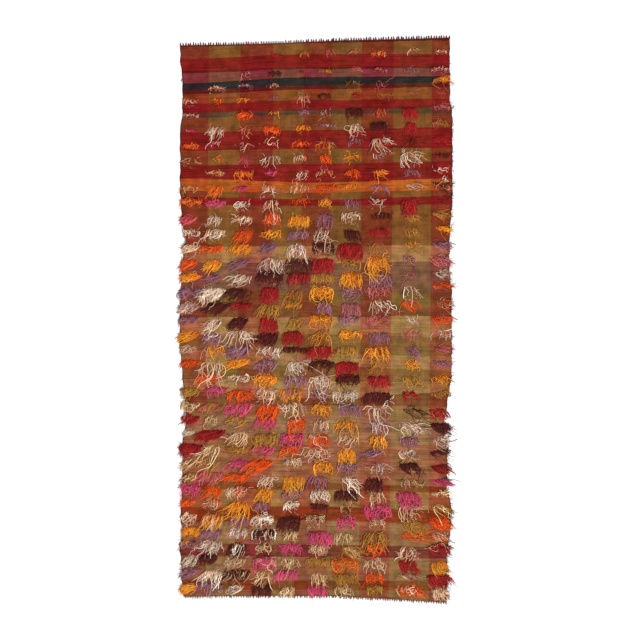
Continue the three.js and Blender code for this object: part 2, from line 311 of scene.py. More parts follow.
def new_material(name, roughness, specular):
    """A material, its node tree and its shader, with one roughness and one gloss all over."""
    material = bpy.data.materials.new(name)
    material.use_nodes = True
    shader = material.node_tree.nodes["Principled BSDF"]
    shader.inputs["Roughness"].default_value = roughness
    shader.inputs["Specular IOR Level"].default_value = specular
    return material, material.node_tree, shader


def add_node(tree, kind, inputs, **settings):
    """One node with its own settings. inputs gives each of its sockets another socket or a plain value."""
    node = tree.nodes.new("ShaderNode" + kind)
    for label, setting in settings.items():
        setattr(node, label, setting)
    for socket, value in inputs.items():
        if hasattr(value, "is_output"):
            tree.links.new(value, node.inputs[socket])
        elif value is not None:
            node.inputs[socket].default_value = value
    return node


def calc(tree, operation, a, b=None, c=None):
    """One step of arithmetic on sockets and plain numbers."""
    return add_node(tree, "Math", {0: a, 1: b, 2: c}, operation=operation).outputs[0]


def mix_colour(tree, share, a, b, blend="MIX"):
    """Colour a with a share of colour b mixed in or multiplied on."""
    return add_node(tree, "Mix", {0: share, 6: a, 7: b}, data_type="RGBA", blend_type=blend).outputs[2]


def remap(tree, value, from_low, from_high, to_low=0.0, to_high=1.0, **settings):
    """A value carried from one range to another, and held inside it."""
    limits = {"From Min": from_low, "From Max": from_high, "To Min": to_low, "To Max": to_high}
    return add_node(tree, "MapRange", {"Value": value, **limits}, clamp=True, **settings).outputs["Result"]


def noise(tree, place, scale, detail, rough=0.5):
    """A noise value for each place."""
    inputs = {"Vector": place, "Scale": scale, "Detail": detail, "Roughness": rough}
    return add_node(tree, "TexNoise", inputs).outputs["Fac"]


def scaled_vector(tree, *parts):
    """A vector of up to three parts, each a socket times a factor."""
    products = [calc(tree, "MULTIPLY", socket, factor) for socket, factor in parts]
    return add_node(tree, "CombineXYZ", dict(enumerate(products))).outputs[0]


def toned(tree, colour, tone):
    """A colour with each of its channels times one tone."""
    grey = add_node(tree, "CombineColor", {0: tone, 1: tone, 2: tone}).outputs[0]
    return mix_colour(tree, 1.0, colour, grey, "MULTIPLY")


def raise_bump(tree, shader, relief, strength, distance):
    """Bump on a shader from a relief, with its distance in metres."""
    bump = add_node(tree, "Bump", {"Strength": strength, "Distance": distance, "Height": relief})
    tree.links.new(bump.outputs[0], shader.inputs["Normal"])


def stepped_ramp(tree, place, low, high, stops):
    """Colours in steps over a place from low to high. stops are (start, colour) from low to high."""
    ramp = add_node(tree, "ValToRGB", {"Fac": remap(tree, place, low, high)})
    ramp.color_ramp.interpolation = "CONSTANT"
    elements = ramp.color_ramp.elements
    for number, (start, colour) in enumerate(stops):
        at = min(max((start - low) / (high - low), 0.0), 1.0)
        element = elements[number] if number < 2 else elements.new(at)
        element.position = at
        element.color = colour
    return ramp.outputs


def cloth_material():
    """Warp and weft dyes from stepped ramps, mixed thread by thread in a plain weave.
    A weft shows where sin(pi u / pitch) sin(pi v / pitch) passes a level. With b = 1 - 2 cover, the level
    b (0.55 + 0.5 b^2) lets the weft show on that share of the cloth."""
    warp_pitch, weft_pitch = 0.0023, 0.0019
    first_warp, last_warp, reach_of_wefts = -0.50, 0.48, 1.02
    material, tree, shader = new_material("plaid_weave", 1.0, 0.0)
    places = add_node(tree, "UVMap", {}, uv_map="yarn").outputs[0]
    split = add_node(tree, "SeparateXYZ", {0: places}).outputs
    warp_wander = calc(tree, "MULTIPLY_ADD", noise(tree, places, 60.0, 3.0), 0.0040, -0.0020)
    weft_wander = calc(tree, "MULTIPLY_ADD", noise(tree, places, 38.0, 3.0), 0.0050, -0.0025)
    u = calc(tree, "ADD", split[0], warp_wander)
    v = calc(tree, "ADD", split[1], weft_wander)

    starts = [first_warp] + [border / 1000 for _, border, _ in WARP_STRIPES[:-1]]
    warp_colours = []
    for dyes in (WARP_DYES, FADED_WARP_DYES):
        stops = [(start, dyes[dye] + (1.0,)) for start, (dye, _, _) in zip(starts, WARP_STRIPES)]
        warp_colours.append(stepped_ramp(tree, u, first_warp, last_warp, stops)["Color"])
    warp_colour = mix_colour(tree, remap(tree, v, FADE_FROM, FADE_TO), *warp_colours)
    # The wefts take two ramps, because one holds at most 32 colours. Alpha holds the cover.
    stops = [(left / 1000, WEFT_DYES[dye]) for dye, left, _, _ in reversed(WEFT_STRIPES)]
    half = len(stops) // 2
    border = stops[half][0]
    lower = stepped_ramp(tree, v, -reach_of_wefts, border, stops[:half])
    upper = stepped_ramp(tree, v, border, reach_of_wefts, stops[half:])
    is_upper = calc(tree, "GREATER_THAN", v, border)
    weft_colour = mix_colour(tree, is_upper, lower["Color"], upper["Color"])
    cover_step = calc(tree, "SUBTRACT", upper["Alpha"], lower["Alpha"])
    cover = calc(tree, "MULTIPLY_ADD", cover_step, is_upper, lower["Alpha"])

    # Uneven dyeing and spinning: every weft and warp has its own depth of colour, in fine and in broad
    # bands, and the broad bands are strongest in the lower half, where leftover yarns were mixed.
    def bands(along_u, along_v, low, high):
        stretched = scaled_vector(tree, (u, along_u), (v, along_v))
        return remap(tree, noise(tree, stretched, 1.0, 2.0, 0.6), 0.28, 0.72, low, high)

    fine_wefts = bands(5.0, 300.0, 0.70, 1.30)
    broad_wefts = bands(2.2, 110.0, -1.0, 1.0)
    fine_warps = bands(230.0, 4.0, 0.80, 1.20)
    broad_share = remap(tree, v, 0.25, -0.15, 0.10, 0.32)
    broad_tone = calc(tree, "MULTIPLY_ADD", broad_wefts, broad_share, 1.0)
    weft_tone = calc(tree, "MULTIPLY", fine_wefts, broad_tone)
    greener, redder = (0.84, 1.26, 0.62, 1), (1.08, 0.80, 1.38, 1)
    drift = mix_colour(tree, bands(8.0, 46.0, 0.0, 1.0), greener, redder)
    weft_colour = mix_colour(tree, 1.0, weft_colour, drift, "MULTIPLY")
    dark_wefts = remap(tree, bands(7.0, 420.0, 0.0, 1.0), 0.58, 0.90, 1.0, 0.34)
    weft_tone = calc(tree, "MULTIPLY", weft_tone, dark_wefts)
    clouds = remap(tree, noise(tree, places, 26.0, 4.0, 0.62), 0.34, 0.66, 0.70, 1.23)

    warp_turn = calc(tree, "SINE", calc(tree, "MULTIPLY", u, math.pi / warp_pitch))
    weft_turn = calc(tree, "SINE", calc(tree, "MULTIPLY", v, math.pi / weft_pitch))
    crossing = calc(tree, "MULTIPLY", warp_turn, weft_turn)
    bare = calc(tree, "MULTIPLY_ADD", cover, -2.0, 1.0)
    steepness = calc(tree, "MULTIPLY_ADD", calc(tree, "MULTIPLY", bare, bare), 0.5, 0.55)
    past_level = calc(tree, "SUBTRACT", crossing, calc(tree, "MULTIPLY", bare, steepness))
    weft_shows = remap(tree, past_level, -0.12, 0.12, interpolation_type="SMOOTHSTEP")
    warp_colour, weft_colour = toned(tree, warp_colour, fine_warps), toned(tree, weft_colour, weft_tone)
    plaid = mix_colour(tree, weft_shows, warp_colour, weft_colour)
    # Darker towards the edges: partly the dark edge yarn, partly painted shade on the rounded rim.
    selvedge = add_node(tree, "Attribute", {}, attribute_name="selvedge").outputs["Fac"]
    rim_shade_and_edge_yarn = calc(tree, "MULTIPLY_ADD", selvedge, -0.55, 1.0)
    colour = toned(tree, plaid, calc(tree, "MULTIPLY", clouds, rim_shade_and_edge_yarn))
    tree.links.new(colour, shader.inputs["Base Color"])

    # Each thread stands up in the middle of its float, and its fibres are uneven.
    height = calc(tree, "ABSOLUTE", crossing)
    relief = calc(tree, "MULTIPLY_ADD", noise(tree, places, 1400.0, 3.0, 0.7), 0.55, height)
    raise_bump(tree, shader, relief, 0.75, 0.0006)
    return material


cloth = build_cloth()
cloth.data.materials.append(cloth_material())
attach(cloth, "root")
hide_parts("kilim_rug")

# The fringes: the cut ends of the warps, a few millimetres long, along both ends of the cloth.
# They are the same twisted wool as the warps. Nothing is sewn on: they are left where the cloth was
# cut from the loom, and they have frayed and bent a little.


def yarn_tubes(paths, radii, sides):
    """Round yarn along many paths at once: paths is (n, m, 3) and radii is (n, m).
    Around each point of a path stands a ring, path + radius (cos a side + sin a up), where side and up
    are carried along the path square to it, and a face closes each end. The points come back with the
    walls, the ends, the places of both on the yarn map, and how far along its yarn each point lies."""
    n, m, _ = paths.shape
    ahead = np.gradient(paths, axis=1)
    ahead /= np.linalg.norm(ahead, axis=2, keepdims=True) + 1e-12
    side = np.empty_like(paths)
    chosen_direction = np.array([0.83, 0.31, 0.46])
    first = np.cross(ahead[:, 0], chosen_direction)
    side[:, 0] = first / (np.linalg.norm(first, axis=1, keepdims=True) + 1e-12)
    for k in range(1, m):
        kept = side[:, k - 1] - (side[:, k - 1] * ahead[:, k]).sum(1, keepdims=True) * ahead[:, k]
        side[:, k] = kept / (np.linalg.norm(kept, axis=1, keepdims=True) + 1e-12)
    up = np.cross(ahead, side)
    turns = np.arange(sides) * 2 * math.pi / sides
    ring = np.cos(turns)[:, None] * side[:, :, None, :] + np.sin(turns)[:, None] * up[:, :, None, :]
    points = paths[:, :, None, :] + radii[:, :, None, None] * ring
    index = np.arange(n * m * sides).reshape(n, m, sides)
    after = np.roll(index, -1, axis=2)
    walls = np.stack((index[:, :-1], after[:, :-1], after[:, 1:], index[:, 1:]), axis=-1).reshape(-1, 4)
    ends = np.concatenate((index[:, 0, ::-1], index[:, -1]))
    steps = np.linalg.norm(np.diff(paths, axis=1), axis=2)
    along = np.concatenate((np.zeros((n, 1)), np.cumsum(steps, axis=1)), axis=1)
    u0 = np.broadcast_to(np.arange(sides) / sides, (n, m - 1, sides))
    u1 = u0 + 1 / sides
    v0 = np.broadcast_to(along[:, :-1, None], (n, m - 1, sides))
    v1 = np.broadcast_to(along[:, 1:, None], (n, m - 1, sides))
    wall_uv = np.stack((u0, v0, u1, v0, u1, v1, u0, v1), axis=-1).reshape(-1, 2)
    end_v = np.repeat(np.concatenate((along[:, 0], along[:, -1])), sides)
    end_uv = np.stack((np.zeros(end_v.size), end_v), axis=-1)
    part = np.repeat((along / (along[:, -1:] + 1e-9)).ravel(), sides)
    return points.reshape(-1, 3), walls, ends, wall_uv, end_uv, part


def yarn_piece(name, bundles, material):
    """One mesh from bundles of yarn, each with its paths, radii, tones, stains and number of sides. The tone
    and stain of a yarn and how far along it a point lies are kept on the points for the material."""
    points, tone, stain, reach, count = [], [], [], [], 0
    faces, places = {4: [], 3: []}, {4: [], 3: []}
    for paths, radii, tones, stains, sides in bundles:
        if len(paths) == 0:
            continue
        ring_points, walls, ends, wall_uv, end_uv, part = yarn_tubes(paths, radii, sides)
        for corners, some_faces, some_places in ((4, walls, wall_uv), (sides, ends, end_uv)):
            faces[corners].append(some_faces + count)
            places[corners].append(some_places)
        points.append(ring_points)
        tone.append(np.repeat(tones, paths.shape[1] * sides))
        stain.append(np.repeat(stains, paths.shape[1] * sides))
        reach.append(part)
        count += len(ring_points)
    kinds = [corners for corners in faces if faces[corners]]
    face_sets = [np.concatenate(faces[corners]) for corners in kinds]
    uv = np.concatenate([place for corners in kinds for place in places[corners]])
    piece = mesh_from_faces(name, np.concatenate(points), face_sets, uv)
    add_values(piece, "tone", np.concatenate(tone))
    add_values(piece, "stain", np.concatenate(stain))
    add_values(piece, "reach", np.concatenate(reach))
    piece.data.materials.append(material)
    return piece


def yarn_material(name, root, tip, spread, twist=0.0045):
    """Loosely twisted wool. Two plies wind round the yarn: cos(2 pi (2u + v / twist)) is their relief, and
    fibres run along it; the colour is also darker in the grooves and lighter on the plies, as painted shade
    and highlight. The colour goes from the root's to the tip's: the darker root is partly painted shade deep
    in the tuft, the lighter tip partly a painted highlight and partly faded wool. Its depth differs from yarn
    to yarn by spread. Where the yarn is stained by the red of the cloth it keeps less green and blue."""
    stained = (1.0, 0.60, 0.50, 1.0)
    material, tree, shader = new_material(name, 0.9, 0.03)
    shader.inputs["Sheen Weight"].default_value = 0.02
    shader.inputs["Sheen Roughness"].default_value = 0.5
    tone, reach, stain = (add_node(tree, "Attribute", {}, attribute_name=label).outputs["Fac"]
                          for label in ("tone", "reach", "stain"))
    places = add_node(tree, "UVMap", {}, uv_map="yarn").outputs[0]
    around, along, _ = add_node(tree, "SeparateXYZ", {0: places}).outputs
    own_fade = calc(tree, "FRACT", calc(tree, "MULTIPLY", tone, 9.0))
    # From root to tip: the darker root is partly painted shade deep in the tuft, the lighter tip partly a
    # painted highlight, plus each yarn's own fading.
    fade_and_painted_light = calc(tree, "MULTIPLY_ADD", reach, 0.40, calc(tree, "MULTIPLY", own_fade, 0.70))
    fade_and_painted_light_colour = mix_colour(tree, fade_and_painted_light, root + (1.0,), tip + (1.0,))
    fade_and_painted_light_colour = mix_colour(tree, stain, fade_and_painted_light_colour, stained, "MULTIPLY")
    winding = calc(tree, "MULTIPLY_ADD", along, 1.0 / twist, calc(tree, "MULTIPLY", around, 2.0))
    ply = calc(tree, "COSINE", calc(tree, "MULTIPLY", winding, 2.0 * math.pi))
    stretched = scaled_vector(tree, (around, 14.0), (along, 420.0), (tone, 60.0))
    fibre = noise(tree, stretched, 1.0, 2.0, 0.6)
    depth = calc(tree, "MULTIPLY_ADD", tone, 2.0 * spread, 0.98 - spread)
    fibrous = calc(tree, "MULTIPLY_ADD", fibre, 0.32, depth)
    # The ply relief also shades the colour: painted shade in the grooves, painted highlight on the plies.
    tone_with_ply_shade = calc(tree, "MULTIPLY_ADD", ply, 0.12, fibrous)
    tree.links.new(toned(tree, fade_and_painted_light_colour, tone_with_ply_shade), shader.inputs["Base Color"])
    raise_bump(tree, shader, calc(tree, "MULTIPLY_ADD", fibre, 0.8, ply), 0.6, 0.0004)
    return material


def fringe_paths(edge, out, reach, seed):
    """Warp ends along an end of the cloth, in threes that lean together. They start inside the edge, run
    straight out by their length times s, and bend aside by their own amount times s to the power 1.6,
    which draws the outer two of each three towards the middle one."""
    threes, apart, inset, inside, girth, taper = 108, 0.0019, 0.003, 0.0025, 0.00130, 0.35
    three_bend, own_bend, three_shift, drawn_in = 0.0012, 0.0003, 0.0009, 0.75
    height, lift, height_spread = 0.0013, 0.0004, 0.0005
    draw = np.random.default_rng(seed)
    start = np.repeat(np.linspace(edge[0, 0] + inset, edge[-1, 0] - inset, threes), 3)
    place = np.tile((-apart, 0, apart), threes)
    length = reach * np.repeat(draw.uniform(0.70, 1.15, threes), 3) * draw.uniform(0.85, 1.1, start.size)
    aside = np.repeat(draw.normal(0, three_bend, threes), 3) - drawn_in * place
    aside = aside + draw.normal(0, own_bend, start.size)
    s = np.linspace(0, 1, 5)
    start = start + place + np.repeat(draw.normal(0, three_shift, threes), 3)
    y = edge_at(edge, start)[:, None] + out * (length[:, None] * s - inside * (1 - s))
    x = start[:, None] + aside[:, None] * s ** 1.6
    radii = girth * (1 - taper * s) * draw.uniform(0.8, 1.15, start.size)[:, None]
    z = height + lift * np.sin(math.pi * s) + draw.uniform(0, height_spread, start.size)[:, None]
    paths = np.stack((x, y, np.maximum(z, radii)), axis=-1)
    return paths, radii, draw.uniform(0, 1, start.size), np.zeros(start.size), 4


# Each fringe: the end of the cloth, the way out, the reach, a seed, and its wool at the root and the tip.
FRINGES = {
    "fringe_top": (TOP_EDGE, 1, 0.0094, 21, (0.060, 0.008, 0.007), (0.150, 0.030, 0.026)),
    "fringe_bottom": (BOTTOM_EDGE, -1, 0.0074, 22, (0.070, 0.020, 0.014), (0.240, 0.110, 0.080)),
}
for node, (edge, out, reach, seed, root_colour, tip_colour) in FRINGES.items():
    wool = yarn_material(node + "_ends_wool", root_colour, tip_colour, 0.4, 0.003)
    fringe = yarn_piece(node + "_ends", [fringe_paths(edge, out, reach, seed)], wool)
    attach(fringe, "root")
    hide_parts(node)

# The tufts: 39 rows of ten, each tuft a line of knots of loose wool ends tied round the warps.
# The weaver changed the dye in a zigzag, so each colour makes half diamonds on the two long sides.
# The ends fall down the rug and lean outwards near its sides, and at the right they pass its edge.
ROWS = 39
# Knot lines: row, y at the left and the right end, in mm.
KNOT_LINES = np.array([(1, 990, 1000), (2, 938, 949), (3, 864, 885), (5, 772, 805), (10, 522, 530),
                       (19, 58, 70), (28, -382, -412), (39, -920, -934)])
# Columns of tufts: x at the first and the last row, in mm.
COLUMNS = np.array([(-446, -450), (-353, -374), (-254, -284), (-154, -196), (-52, -105), (33, -7),
                    (126, 88), (217, 196), (324, 306), (424, 413)])
# Knots left out or pulled out since: row, first and last column.
BARE_KNOTS = [(1, 1, 10), (2, 1, 2), (3, 1, 2), (4, 1, 1), (4, 5, 6), (4, 9, 9), (6, 2, 2), (10, 1, 1),
              (24, 1, 1)]
# How large a tuft is in a row: row, width and reach in mm.
TUFT_SIZES = np.array([(1, 40, 17), (6, 45, 21), (9, 48, 25), (13, 56, 36), (16, 62, 46), (39, 63, 48)])
# Which way the ends lean, in degrees from straight down, plus to the right: row, then columns
# 1, 3, 5.5, 8 and 10.
LEANS = np.array([(1, -25, -15, 0, 15, 45), (10, -50, -32, -8, 18, 58), (16, -66, -40, -8, 10, 66),
                  (22, -60, -44, -10, 12, 72), (29, -50, -46, -8, 12, 74), (39, -35, -26, 0, 12, 60)])
# How full a tuft is, for the same columns: worn or sparse tufts are below 1.
FULLNESS = np.array([(1, 0.38, 0.38, 0.38, 0.42, 0.7), (8, 0.55, 0.56, 0.56, 0.60, 0.7),
                     (14, 0.85, 0.9, 1, 0.85, 0.9), (22, 0.9, 1, 1, 0.8, 0.9), (30, 1, 1, 1, 0.9, 1),
                     (39, 1, 1, 1, 0.9, 1)])
# Where the ends have worn away most: first and last row, column, share of the ends that is left.
WORN_TUFTS = [(14, 26, 9, 0.50), (13, 25, 10, 0.80), (14, 22, 8, 0.85), (20, 30, 10, 0.85)]
# A tuft as wide as this, in metres, has as many ends as its form says.
FORM_WIDTH = 0.054
# Forms of tuft. below and above are the ends in its two layers; reach, width and girth are shares of the
# row's and the yarn's. In degrees, fan spreads the ends over the width, lock_turn and own_turn turn each
# lock and each end, curl rolls them up, curl_spread is how that differs, and wave is how they wander.
# round turns spread ends back down, uneven is the spread of lengths, gather draws a lock's ends together,
# hold keeps them inside the outline of the tuft, and upright is the share of the row's lean they take.
FORM_COLUMNS = ("below", "above", "reach", "width", "girth", "fan", "round", "lock_turn", "own_turn", "curl",
                "curl_spread", "wave", "uneven", "gather", "hold", "upright")
FORMS = {
    "block": (22, 23, 1.00, 1.00, 0.95, 6, 0.6, 6, 9, 0, 40, 32, 0.13, 0.08, 1.00, 0.80),
    "puff": (18, 24, 0.95, 1.00, 1.10, 40, 1.0, 12, 30, 0, 160, 70, 0.22, 0.12, 1.00, 0.95),
    "comb": (9, 17, 1.05, 0.90, 1.08, 24, 0.2, 18, 16, 0, 44, 34, 0.24, 0.40, 0.30, 0.80),
    "loop": (10, 18, 1.05, 0.90, 1.08, 34, 0.4, 20, 25, 110, 90, 40, 0.28, 0.40, 0.40, 0.80),
    "leaf": (19, 18, 1.25, 0.75, 1.00, 12, 0.8, 8, 12, 0, 40, 34, 0.18, 0.30, 0.90, 1.00),
    "wisp": (2, 13, 1.15, 0.85, 0.92, 30, 0.0, 28, 30, 70, 95, 40, 0.40, 0.35, 0.00, 1.00),
    "pad": (15, 12, 0.65, 1.10, 1.00, 5, 0.0, 6, 12, 0, 40, 30, 0.14, 0.05, 1.00, 0.40),
}
# Where the forms occur: first and last row, first and last column, shares of the forms in the above order.
FORM_ZONES = [
    (1, 9, 1, 10, 6, 32, 16, 14, 8, 22, 4),
    (10, 12, 1, 10, 16, 26, 22, 12, 14, 6, 6),
    (13, 39, 1, 1, 22, 20, 4, 0, 54, 0, 0),
    (13, 39, 2, 3, 34, 28, 20, 5, 12, 0, 3),
    (13, 39, 4, 7, 36, 36, 14, 6, 4, 0, 4),
    (13, 39, 8, 8, 28, 32, 20, 8, 8, 2, 2),
    (13, 39, 9, 9, 22, 28, 18, 6, 22, 2, 2),
    (13, 39, 10, 10, 30, 18, 20, 6, 26, 0, 0),
]
# Tufts that stand out, by form: row, column, fullness, reach in mm, lean, fan and curl in degrees.
BOLD_TUFTS = {
    "block": [
        (6, 7, 1.3, 38, 0, 10, 20), (6, 8, 1.2, 28, 0, 10, 20), (6, 9, 1.5, 44, 0, 10, 20),
        (7, 8, 1.3, 34, 6, 10, 20), (7, 9, 1.3, 42, 0, 10, 20), (12, 9, 1.7, 62, 2, 4, 5),
        (15, 1, 1.2, 48, -68, 8, 5), (15, 7, 1.6, 64, 0, 4, 5), (18, 2, 1.3, 58, -46, 10, 10),
        (18, 4, 1.5, 62, -6, 6, 10), (20, 4, 1.4, 60, 0, 6, 10), (21, 5, 1.3, 54, 0, 6, 10),
        (27, 1, 1.6, 50, -60, 8, 5), (27, 10, 1.3, 56, 50, 14, 10), (28, 2, 1.5, 54, -58, 8, 5),
        (29, 1, 1.7, 58, -50, 10, 5), (30, 10, 1.3, 56, 58, 14, 10), (34, 10, 1.5, 56, 50, 12, 10),
        (37, 10, 1.4, 50, 22, 12, 10), (38, 10, 1.4, 50, 36, 12, 10), (39, 10, 1.3, 46, 16, 16, 20),
    ],
    "puff": [
        (6, 3, 1.0, 28, -40, 20, 20), (7, 4, 1.0, 36, -8, 30, 20), (27, 5, 1.4, 62, 0, 20, 10),
        (36, 5, 1.3, 48, 22, 30, 20), (36, 8, 1.3, 44, 10, 30, 20), (37, 4, 1.4, 54, 0, 30, 20),
        (38, 8, 1.2, 42, 0, 30, 20),
    ],
    "comb": [
        (7, 2, 1.0, 38, -38, 20, 20), (7, 7, 1.1, 38, 12, 40, 30), (8, 8, 1.2, 58, 24, 80, 30),
        (9, 9, 1.1, 48, 40, 70, 20), (11, 2, 1.2, 48, -40, 25, 20), (14, 10, 1.1, 50, 62, 30, 30),
        (15, 5, 1.3, 56, -6, 24, 20), (16, 4, 1.2, 46, -8, 35, 40), (16, 5, 1.2, 48, -4, 20, 20),
        (17, 3, 1.1, 52, -52, 10, 10), (18, 3, 1.1, 75, -58, 12, 10), (21, 3, 0.9, 62, -15, 70, 25),
        (22, 2, 1.2, 50, -5, 30, 60), (23, 2, 0.8, 80, -14, 18, 20), (26, 8, 0.9, 62, 25, 95, 30),
        (27, 9, 0.8, 66, 55, 50, 20), (28, 10, 1.0, 66, 68, 30, 30), (29, 2, 0.8, 85, -38, 14, 20),
        (31, 7, 1.1, 56, 34, 20, 20), (35, 9, 0.7, 80, 76, 16, 15),
    ],
    "loop": [
        (4, 10, 1.2, 46, 66, 45, 40), (5, 5, 1.0, 32, 0, 40, 60), (8, 6, 0.8, 46, -10, 90, 60),
        (10, 3, 1.1, 40, 10, 40, 60), (14, 6, 0.4, 80, 8, 12, 60), (16, 8, 1.6, 78, 8, 36, 60),
        (24, 6, 1.1, 70, -12, 35, 120), (25, 3, 1.2, 50, -15, 30, 40),
    ],
    "leaf": [
        (31, 10, 1.1, 62, 78, 20, 20),
    ],
}
# Colours by how far a tuft is from the nearest point of the zigzag: the upper part, the rest, and the
# lower right.
ZIGZAG_CENTRES = (-8, 10, 28, 46)
UPPER_ORDER = ["cream", "straw", "orange", "magenta", "cream", "blush", "tangerine", "marigold", "lavender",
               "cream", "aubergine", "crimson", "old_gold", "rose", "rose", "orange", "cream", "cream",
               "blush"]
MAIN_ORDER = ["cream", "crimson", "straw", "old_gold", "magenta", "tangerine", "blush", "marigold",
              "lavender", "cream", "aubergine", "crimson", "old_gold", "marigold", "lavender", "rose",
              "cream", "tangerine", "cream"]
LOWER_ORDER = MAIN_ORDER[:11] + ["straw", "magenta", "straw", "old_gold", "tangerine", "blush", "crimson",
                                 "marigold"]
# Tufts of another dye than the zigzag gives them.
ODD_DYES = [(3, 9, "lavender"), (4, 2, "peach"), (4, 10, "marigold"), (6, 9, "crimson"),
            (12, 9, "crimson"), (13, 9, "old_gold")]
# Wool dyes in linear light: at the root, at the tip, and how much they vary from end to end. The darker
# roots are partly painted shade deep in the tufts, the lighter tips partly painted highlights.
YARNS = {
    "cream": ((0.640, 0.380, 0.215), (1.000, 0.960, 0.800), 0.64),
    "peach": ((0.560, 0.210, 0.125), (1.000, 0.740, 0.540), 0.60),
    "blush": ((0.580, 0.270, 0.135), (1.000, 0.830, 0.580), 0.58),
    "straw": ((0.500, 0.245, 0.075), (1.000, 0.820, 0.490), 0.58),
    "old_gold": ((0.290, 0.130, 0.016), (0.640, 0.350, 0.070), 0.50),
    "marigold": ((0.720, 0.110, 0.004), (1.000, 0.560, 0.060), 0.46),
    "orange": ((0.720, 0.100, 0.008), (1.000, 0.320, 0.055), 0.40),
    "tangerine": ((0.600, 0.038, 0.005), (1.000, 0.190, 0.030), 0.42),
    "crimson": ((0.285, 0.007, 0.009), (0.560, 0.040, 0.040), 0.46),
    "magenta": ((0.400, 0.018, 0.070), (0.900, 0.160, 0.300), 0.46),
    "rose": ((0.380, 0.060, 0.060), (0.720, 0.240, 0.220), 0.38),
    "lavender": ((0.180, 0.055, 0.075), (0.500, 0.250, 0.320), 0.42),
    "aubergine": ((0.060, 0.012, 0.010), (0.150, 0.034, 0.028), 0.45),
}
DARK_DYES = ("crimson", "aubergine")
PUFF_DYES = ("marigold", "tangerine", "orange", "magenta", "old_gold")
PALE_DYES = ("cream", "blush", "straw", "peach")
# Tufts that a dye makes fuller or leaner: dyes, the row that it begins after, fullness, width and reach.
DYE_SIZES = [
    (("straw", "blush"), 0, 0.86, 1.00, 1.00),
    (DARK_DYES, 12, 1.20, 1.10, 1.00),
    (PUFF_DYES, 12, 1.10, 1.08, 1.08),
    (PALE_DYES, 26, 1.00, 0.88, 0.88),
]


def read_field(table, row, column):
    """A value for each tuft from a table of rows by columns 1, 3, 5.5, 8 and 10, straight between."""
    by_column = np.array([np.interp(row, table[:, 0], table[:, k]) for k in range(1, 6)])
    at = np.interp(column, (1, 3, 5.5, 8, 10), np.arange(5))
    lower = np.clip(np.floor(at).astype(int), 0, 3)
    part = at - lower
    every = np.arange(row.size)
    return by_column[lower, every] * (1 - part) + by_column[lower + 1, every] * part


def dye_of(row, column):
    """The dye of a tuft: the zigzag step is the column plus the rows to the nearest centre. In the first
    rows the palest wool is peach."""
    step = column - 1 + min(abs(row - centre) for centre in ZIGZAG_CENTRES)
    if row < 7 and UPPER_ORDER[step] in ("cream", "blush"):
        return "peach"
    if row < 10 or (row < 20 and step < 10):
        return UPPER_ORDER[step]
    if row > 30 and step > 10:
        return LOWER_ORDER[step]
    return MAIN_ORDER[step]


def tuft_forms(row, column, dye, draw):
    """The form of each tuft: drawn by the shares of its zone, then swayed by its dye. Dark tufts are often
    plain blocks, bright ones puffs, and pale ones combs. Bold tufts have their own."""
    names = list(FORMS)
    form = np.zeros(row.size, int)
    chance = draw.uniform(0, 1, row.size)
    for first_row, last_row, first, last, *shares in FORM_ZONES:
        here = (row >= first_row) & (row <= last_row) & (column >= first) & (column <= last)
        form[here] = np.searchsorted(np.cumsum(shares) / sum(shares), chance[here])
    sway = draw.uniform(0, 1, row.size) < np.where(np.isin(dye, DARK_DYES), 0.85, 0.55)
    for dyes, chosen, others in (
        (DARK_DYES + ("lavender",), "block", ("comb", "loop")),
        (PUFF_DYES, "puff", ("comb", "loop")),
        (PALE_DYES, "comb", ("block", "pad")),
    ):
        swayed = sway & np.isin(dye, dyes) & np.isin(form, [names.index(other) for other in others])
        form[swayed] = names.index(chosen)
    for bold_form, bold_tufts in BOLD_TUFTS.items():
        for bold_row, bold_column, *_ in bold_tufts:
            form[(row == bold_row) & (column == bold_column)] = names.index(bold_form)
    return form, names


